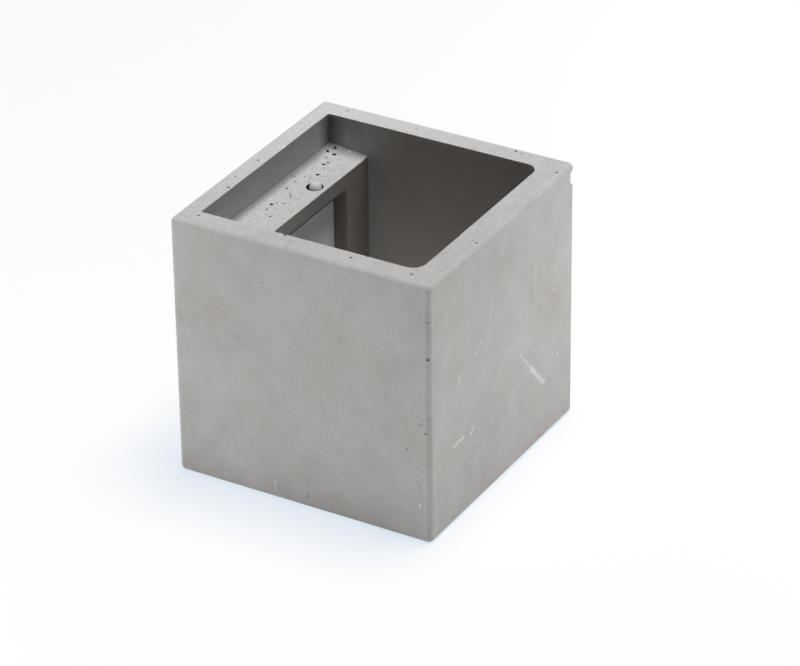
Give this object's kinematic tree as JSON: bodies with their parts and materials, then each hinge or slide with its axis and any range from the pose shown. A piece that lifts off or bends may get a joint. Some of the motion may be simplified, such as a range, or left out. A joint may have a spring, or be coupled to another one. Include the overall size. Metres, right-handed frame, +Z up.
{
  "type": "hollow concrete block, wall light housing",
  "caption": "Hollow cast-concrete cube open at top and bottom, with a recessed ledge, a window in its deep back wall, a wall plate behind the window and a locking pin.",
  "frame": {"origin": "middle of the block's underside, on the floor", "axes": "+Z up through the open shaft, +Y out of the wall side, so the front face points to -Y, and +X to the right of someone facing the front"},
  "size_m": [0.1226, 0.1216, 0.12],
  "materials": {
    "concrete": "smooth fair-faced cast concrete, light grey, matt, with small air holes",
    "white_paint": "white powder coat, satin",
    "steel": "dull zinc-plated steel"
  },
  "bodies": {
    "root": {"concrete_body": "concrete", "mounting_plate": "white_paint", "locking_pin": "steel"}
  },
  "joints": []
}
